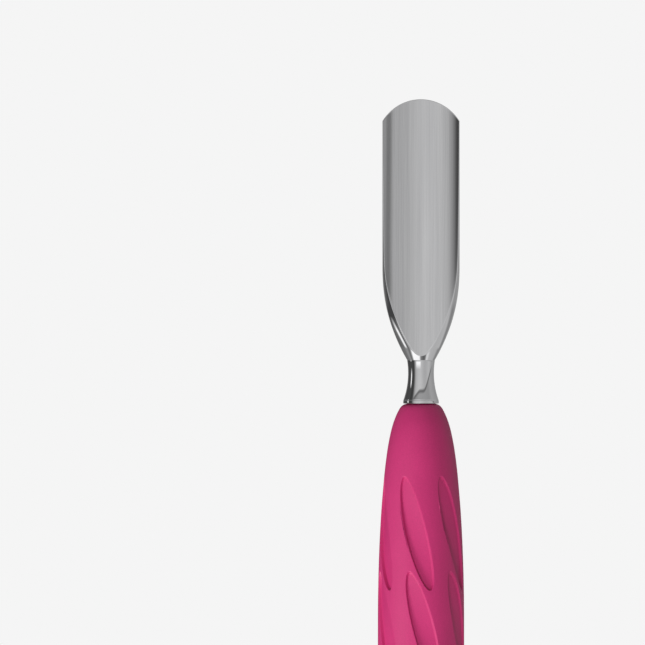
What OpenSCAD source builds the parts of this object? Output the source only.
// Double-ended cuticle pusher: a slim hand tool with a wide and a narrow
// rounded scoop on a soft sleeved handle.
// Upright along Z, wide scoop at the top, narrow scoop at the bottom.
// The origin is the centre of the handle. Both scoops open towards -Y.

/* [Handle] */
// Length of the soft sleeve from end to end
grip_len = 85; // [75:1:100]
// Largest diameter of the soft sleeve, over its plain middle band
grip_d = 9.24; // [8.6:0.02:10.5]
// Length over which each end of the sleeve tapers
taper_len = 24; // [20:1:30]
// Diameter of the flat ring at each end of the sleeve
end_flat_d = 2.94; // [2.9:0.02:3.2]

/* [Finger pockets] */
// Number of leaf-shaped pockets round each row
leaf_count = 6; // [4:1:7]
// Number of rows at each end of the sleeve
leaf_rows = 2; // [1:1:2]
// Length of one pocket
leaf_len = 12.3; // [8:0.1:13]
// Widest part of one pocket
leaf_w = 2.4; // [1.6:0.1:2.8]
// Depth of the pocket floor below the sleeve surface
leaf_depth = 0.32; // [0.1:0.02:0.5]
// Lean of a pocket from upright
leaf_tilt = 13.3; // [0:0.1:20]
// Distance from the sleeve end to the middle of the first row
leaf_start = 13.95; // [13:0.05:16]
// Distance from one row to the next
leaf_pitch = 10.23; // [9:0.01:12]
// Turn of the first row about the handle axis
leaf_phase = -7.7; // [-30:0.1:30]
// Extra turn of the second row
leaf_step = 11; // [0:1:30]

/* [Core] */
// Outside diameter of the steel core tube
core_d = 2.8; // [2.4:0.1:2.8]
// Bore of the core tube, which holds the tang of each scoop
core_bore_d = 1.6; // [1.2:0.1:2]
// Length of each tang inside the tube
tang_len = 9; // [6:0.5:14]

/* [Collar] */
// Diameter of the collar rim that seats on the sleeve end
collar_d = 3.8; // [3.4:0.1:4.4]
// Height of the collar rim
collar_h = 0.35; // [0.2:0.05:0.6]

/* [Wide scoop] */
// Width across the parallel sides
wide_w = 8.272; // [7.8:0.004:8.4]
// Height of the tip above the collar seat
wide_len = 32.89; // [30:0.01:36]
// Radius of the rounded tip edge, seen from the front
wide_tip_r = 4.86; // [4.4:0.01:6]
// Radius of the shoulder curve
wide_shoulder_r = 19.94; // [19:0.01:21]
// Height at which the shoulder meets the parallel sides
wide_shoulder_h = 14.66; // [14:0.01:15.2]
// Radius of the hollow across the scoop
wide_hollow_r = 6.48; // [6:0.01:8]
// Height of the ring where shoulder and neck meet
wide_ring_h = 4.64; // [4.5:0.01:4.8]

/* [Narrow scoop] */
// Width across the parallel sides
narrow_w = 6.826; // [6.4:0.002:7]
// Height of the tip above the collar seat
narrow_len = 23.19; // [21:0.01:26]
// Radius of the rounded tip edge, seen from the front
narrow_tip_r = 4.7; // [3.8:0.01:6]
// Radius of the shoulder curve
narrow_shoulder_r = 17.93; // [17:0.01:19]
// Height at which the shoulder meets the parallel sides
narrow_shoulder_h = 11.16; // [10.8:0.01:11.6]
// Radius of the hollow across the scoop
narrow_hollow_r = 4.86; // [4.4:0.01:6]
// Height of the ring where shoulder and neck meet
narrow_ring_h = 3.29; // [3.2:0.01:3.4]

/* [Hidden] */
$fn = 48;

steel = [0.80, 0.80, 0.81];
dull_steel = [0.62, 0.62, 0.64];
silicone = [0.78, 0.22, 0.46];

grip_r = grip_d / 2;
seat_z = grip_len / 2;
through_len = grip_len + 2;  // cutters that pass right through the handle

// ---------------------------------------------------------------- sleeve

// Each end of the sleeve drops from the middle band to the flat ring in
// three parts: a long taper, a nose and a small rounded edge.
end_drop = grip_r - end_flat_d / 2;
taper_drop = 0.503 * end_drop;
nose_drop = 0.338 * end_drop;
edge_drop = end_drop - taper_drop - nose_drop;
taper_power = 2.2;
nose_fade = 2.0;  // distances over which nose and edge die away
edge_fade = 0.13;

// Stations crowd towards the end, where the curve is tight.
taper_steps = 14;
station_power = 2.2;

// Radius of the sleeve at a distance h from its end.
function sleeve_radius(h) =
    h >= taper_len ? grip_r
    : grip_r
      - taper_drop * pow(1 - h / taper_len, taper_power)
      - nose_drop * (exp(-h / nose_fade) - exp(-taper_len / nose_fade))
      - edge_drop * exp(-h / edge_fade);

function station(i) = taper_len * pow(i / taper_steps, station_power);

function sleeve_outline(inset) = concat(
    [[0, -seat_z]],
    [for (i = [0 : taper_steps])
        [sleeve_radius(station(i)) - inset, -seat_z + station(i)]],
    [for (i = [taper_steps : -1 : 0])
        [sleeve_radius(station(i)) - inset, seat_z - station(i)]],
    [[0, seat_z]]
);

module sleeve_body(inset = 0) {
    rotate_extrude() polygon(sleeve_outline(inset));
}

// --------------------------------------------------------------- pockets

leaf_bar_start = grip_r - 1.62;
leaf_bar_len = 3;
pocket_zone_margin = 4;  // plain length kept at each sleeve end

// One leaf-shaped bar along -Y: two large circles crossing each other. It
// starts clear of the axis, so that the bars of a row stay apart.
module leaf_bar() {
    half_len = leaf_len / 2;
    half_w = leaf_w / 2;
    side_r = (half_len * half_len + half_w * half_w) / (2 * half_w);
    translate([0, -leaf_bar_start, 0]) rotate([90, 0, 0])
        linear_extrude(height = leaf_bar_len)
            rotate(leaf_tilt)
                intersection() {
                    translate([side_r - half_w, 0]) circle(r = side_r, $fn = 96);
                    translate([half_w - side_r, 0]) circle(r = side_r, $fn = 96);
                    square([leaf_w * 2, leaf_len * 1.2], center = true);
                }
}

module leaf_ring(row) {
    for (i = [0 : leaf_count - 1])
        rotate([0, 0, leaf_phase + leaf_step * row + i * 360 / leaf_count])
            translate([0, 0, seat_z - leaf_start - leaf_pitch * row])
                leaf_bar();
}

// The bars, kept only outside a sleeve shrunk by the pocket depth.
module pockets() {
    intersection() {
        difference() {
            cylinder(r = grip_r + 1, h = grip_len - 2 * pocket_zone_margin, center = true);
            sleeve_body(leaf_depth);
        }
        union() {
            for (row = [0 : leaf_rows - 1]) {
                leaf_ring(row);
                rotate([0, 180, 0]) leaf_ring(row);
            }
        }
    }
}

// ----------------------------------------------------------- scoop blanks
// Both scoops are drawn tip up, with the collar seat at height 0.

neck_steps = 7;
neck_inset = 0.03;  // step in from the neck curve at the collar
shoulder_steps = 9;
shoulder_power = 1.15;  // crowds the points towards the parallel sides
tang_margin = 0.5;  // reach of the root block below the tang

// Radius of the concave neck at height h: an arc of radius sweep_r whose
// waist, of radius waist_r, lies at height waist_h.
function neck_radius(h, waist_r, waist_h, sweep_r) =
    waist_r + sweep_r - sqrt(sweep_r * sweep_r - (h - waist_h) * (h - waist_h));

// Radius of the shoulder at height h: an arc of radius arc_r that meets the
// parallel sides, of half-width side_r, at height side_h.
function shoulder_radius(h, side_r, arc_r, side_h) =
    h >= side_h ? side_r
    : side_r - arc_r + sqrt(arc_r * arc_r - (side_h - h) * (side_h - h));

// Outline of a blank from its tang to above its tip. The bend is a list of
// extra [radius, height] points between neck and shoulder.
module blank_outline(waist_r, waist_h, sweep_r, ring_h, bend, start_h,
                     side_r, arc_r, side_h, top) {
    tang_r = core_bore_d / 2;
    collar_r = collar_d / 2;
    polygon(concat(
        [[0, -tang_len], [tang_r, -tang_len], [tang_r, 0], [collar_r, 0], [collar_r, collar_h]],
        [for (i = [0 : neck_steps])
            let (h = collar_h + (ring_h - collar_h) * i / neck_steps)
            [neck_radius(h, waist_r, waist_h, sweep_r) - (i == 0 ? neck_inset : 0), h]],
        bend,
        [for (i = [0 : shoulder_steps])
            let (h = side_h - (side_h - start_h) * pow(1 - i / shoulder_steps, shoulder_power))
            [shoulder_radius(h, side_r, arc_r, side_h), h]],
        [[side_r, top], [0, top]]
    ));
}

// Plate that rounds the tip, seen from the front.
module tip_gauge(tip_r, top) {
    half_w = 6;
    rotate([90, 0, 0])
        linear_extrude(height = 20, center = true)
            union() {
                translate([0, top - tip_r]) circle(r = tip_r, $fn = 96);
                translate([-half_w, -1]) square([2 * half_w, top - tip_r * 0.55]);
            }
}

// Large round bar whose +Y side is the ground back of the scoop. It passes
// through the [y, height] points low and high of the back line.
module back_gauge(low, high, bar_r) {
    lean = atan2(high[0] - low[0], high[1] - low[1]);
    translate([0, low[0], low[1]])
        rotate([-lean, 0, 0])
            translate([0, -bar_r, -low[1] - 6])
                cylinder(r = bar_r, h = high[1] + 20, $fn = 72);
}

// Square block from below the tang up to the height top, which keeps the
// root of the blank out of reach of a gauge.
module root_block(width, top) {
    translate([0, 0, (top - tang_len - tang_margin) / 2])
        cube([width, width, tang_len + tang_margin + top], center = true);
}

// Turned blank, given by its outline in children(), trimmed at tip and back.
module trimmed_blank(tip_r, top, back_low, back_high, back_r, root_top) {
    intersection() {
        rotate([0, 0, 90]) rotate_extrude() children();
        union() {
            tip_gauge(tip_r, top);
            root_block(6, 0);
        }
        union() {
            back_gauge(back_low, back_high, back_r);
            root_block(12, root_top);
        }
    }
}

// ---------------------------------------------------------------- hollows

// Round bar whose floor, its +Y side, passes through floor_y at floor_h
// and leans towards +Y by the given angle.
module hollow_bar(bar_r, floor_y, floor_h, angle, down, up) {
    translate([0, floor_y - bar_r * cos(angle), floor_h + bar_r * sin(angle)])
        rotate([-angle, 0, 0])
            translate([0, 0, -down])
                cylinder(r = bar_r, h = down + up);
}

// Cuts the hollow from its children with straight bars whose floors follow
// one path. It starts level with the front of the neck at (crest_h,
// crest_y), falls away round an arc of radius fall_r to run_angle, runs
// straight past run_h, and turns back to tip_angle to run out through the
// tip. The last cut is where the run bar and a slightly larger tip bar overlap.
module hollowed(hollow_r, crest_h, crest_y, fall_r, run_angle, run_h, lift_r, tip_angle = 4) {
    function fall_y(angle) = crest_y + fall_r * (1 - cos(angle));
    function fall_h(angle) = crest_h + fall_r * sin(angle);
    mid_angle = run_angle / 2;
    run_y = fall_y(run_angle);
    run_start_h = fall_h(run_angle);
    run_len = (run_h - run_start_h) / cos(run_angle)
        + lift_r * tan((run_angle - tip_angle) / 2);
    turn_y = run_y + run_len * sin(run_angle);
    turn_h = run_start_h + run_len * cos(run_angle);
    difference() {
        difference() {
            difference() {
                children();
                hollow_bar(hollow_r, crest_y, crest_h, 0, down = 0.1 * fall_r, up = 4);
            }
            hollow_bar(hollow_r, fall_y(mid_angle), fall_h(mid_angle), mid_angle,
                       down = 3, up = 4);
        }
        intersection() {
            hollow_bar(hollow_r, run_y, run_start_h, run_angle, down = 5, up = 30);
            hollow_bar(hollow_r + 0.2, turn_y, turn_h, tip_angle, down = 16, up = 26);
        }
    }
}

// ----------------------------------------------------------------- scoops

module wide_scoop() {
    hollowed(wide_hollow_r, crest_h = 6.32, crest_y = -1.8, fall_r = 13,
             run_angle = 16.5, run_h = 13, lift_r = 20)
        trimmed_blank(wide_tip_r, wide_len, back_low = [3.5, 9],
                      back_high = [2.3, wide_len], back_r = 6, root_top = 4)
            blank_outline(waist_r = 1.345, waist_h = 3.3, sweep_r = 8.7,
                          ring_h = wide_ring_h, bend = [], start_h = wide_ring_h + 0.12,
                          side_r = wide_w / 2, arc_r = wide_shoulder_r,
                          side_h = wide_shoulder_h, top = wide_len + 1);
}

// The tight curve just above the narrow ring is one bend point, set out
// from the middle of the line between the ring and the shoulder start.
narrow_start_h = 4.914;
bend_ring_r = 1.29;
bend_out = 0.085;
narrow_start_r = shoulder_radius(narrow_start_h, narrow_w / 2, narrow_shoulder_r,
                                 narrow_shoulder_h);
narrow_bend = [(bend_ring_r + narrow_start_r) / 2 + bend_out,
               (narrow_ring_h + narrow_start_h) / 2];

module narrow_scoop() {
    hollowed(narrow_hollow_r, crest_h = 4.59, crest_y = -1.87, fall_r = 7,
             run_angle = 20, run_h = 9.45, lift_r = 14)
        trimmed_blank(narrow_tip_r, narrow_len, back_low = [2.9, 7.5],
                      back_high = [1.75, narrow_len], back_r = 5, root_top = 3)
            blank_outline(waist_r = 1.285, waist_h = 3.4, sweep_r = 8.1,
                          ring_h = narrow_ring_h, bend = [narrow_bend],
                          start_h = narrow_start_h, side_r = narrow_w / 2,
                          arc_r = narrow_shoulder_r, side_h = narrow_shoulder_h,
                          top = narrow_len + 1);
}

// ------------------------------------------------------------------ nodes

module wide_head() {
    color(steel) translate([0, 0, seat_z]) wide_scoop();
}

module narrow_head() {
    color(steel) rotate([0, 180, 0]) translate([0, 0, seat_z]) narrow_scoop();
}

module core_tube() {
    color(dull_steel) difference() {
        cylinder(d = core_d, h = grip_len, center = true);
        cylinder(d = core_bore_d, h = through_len, center = true);
    }
}

module grip_sleeve() {
    color(silicone) difference() {
        sleeve_body();
        cylinder(d = core_d, h = through_len, center = true);
        pockets();
    }
}

wide_head();
narrow_head();
core_tube();
grip_sleeve();
